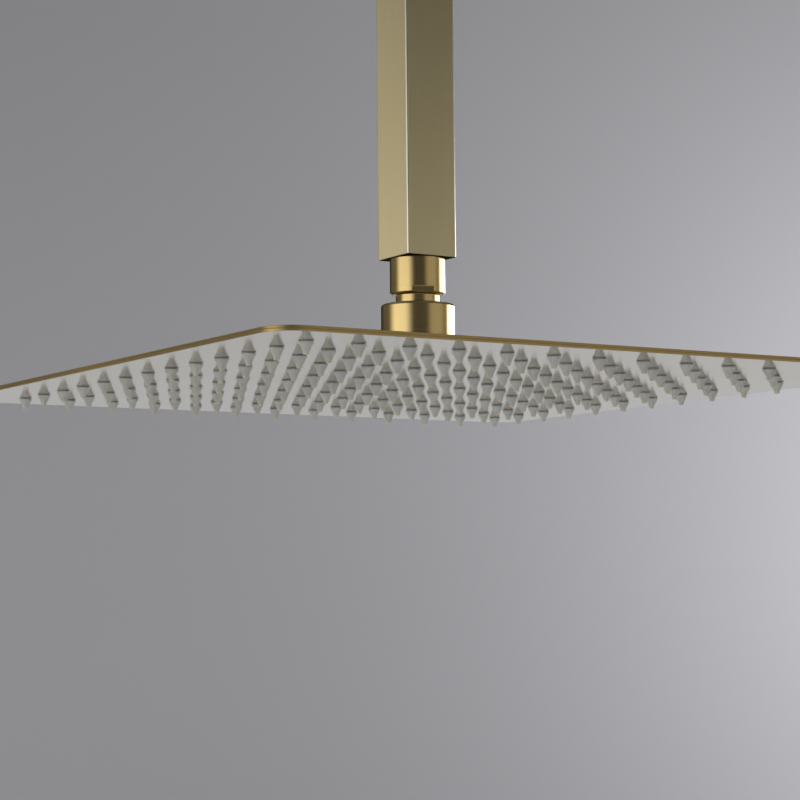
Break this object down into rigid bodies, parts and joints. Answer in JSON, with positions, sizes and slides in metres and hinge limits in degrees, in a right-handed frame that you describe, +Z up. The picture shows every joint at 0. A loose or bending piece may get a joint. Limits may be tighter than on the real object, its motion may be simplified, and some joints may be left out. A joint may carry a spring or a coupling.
{
  "type": "ceiling rain shower head on a square drop arm",
  "caption": "Thin square rain shower head with rounded corners and silicone nozzles, on a ball joint under a square ceiling drop arm with a sliding cover flange.",
  "frame": {"origin": "on the arm's axis, in the plane of the ceiling, at the foot of the inlet thread", "axes": "+Z up along the arm, so the fitting hangs below the origin; X and Y along the sides of the arm and of the plate"},
  "size_m": [0.31, 0.31, 0.2778],
  "materials": {
    "brushed_gold": "champagne gold, fine brushing along the arm",
    "turned_gold": "champagne gold, fine turned rings",
    "plain_brass": "plain machined brass",
    "plate_gold": "stainless sheet, champagne gold coat, brushed",
    "spray_face": "stainless sheet, satin polish, warm grey",
    "steel_mesh": "plain stainless",
    "silicone": "translucent grey-white silicone",
    "black_rubber": "black rubber",
    "grey_foam": "grey closed-cell foam",
    "white_plastic": "natural nylon and acetal"
  },
  "bodies": {
    "arm": {"arm_tube": "brushed_gold", "inlet_nipple": "plain_brass", "outlet_nipple": "plain_brass", "ball_connector": "turned_gold", "connector_washer": "black_rubber", "filter_screen": "steel_mesh", "flow_regulator": "white_plastic", "regulator_ring": "black_rubber"},
    "flange": {"ceiling_flange": "brushed_gold", "flange_gasket": "grey_foam", "flange_grip": "black_rubber"},
    "liner": {"ball_liner": "white_plastic"},
    "seat": {"seat_ring": "white_plastic"},
    "head": {"swivel_nut": "turned_gold", "inlet_cup": "turned_gold", "ball_seal": "black_rubber", "inlet_dome": "plate_gold", "top_plate": "plate_gold", "spray_plate": "spray_face", "support_studs": "steel_mesh", "nozzles": "silicone"}
  },
  "joints": [
    {"name": "flange_slide", "type": "slide", "parent": "arm", "child": "flange", "axis": [0, 0, -1], "range_m": [0, 0.185]},
    {"name": "head_tip_x", "type": "hinge", "parent": "arm", "child": "liner", "pos_m": [0, 0, -0.2295], "axis": [1, 0, 0], "range_deg": [-10, 10]},
    {"name": "head_tip_y", "type": "hinge", "parent": "liner", "child": "seat", "pos_m": [0, 0, -0.2295], "axis": [0, 1, 0], "range_deg": [-10, 10]},
    {"name": "head_turn", "type": "hinge", "parent": "seat", "child": "head", "pos_m": [0, 0, -0.2295], "axis": [0, 0, 1], "continuous": true}
  ]
}
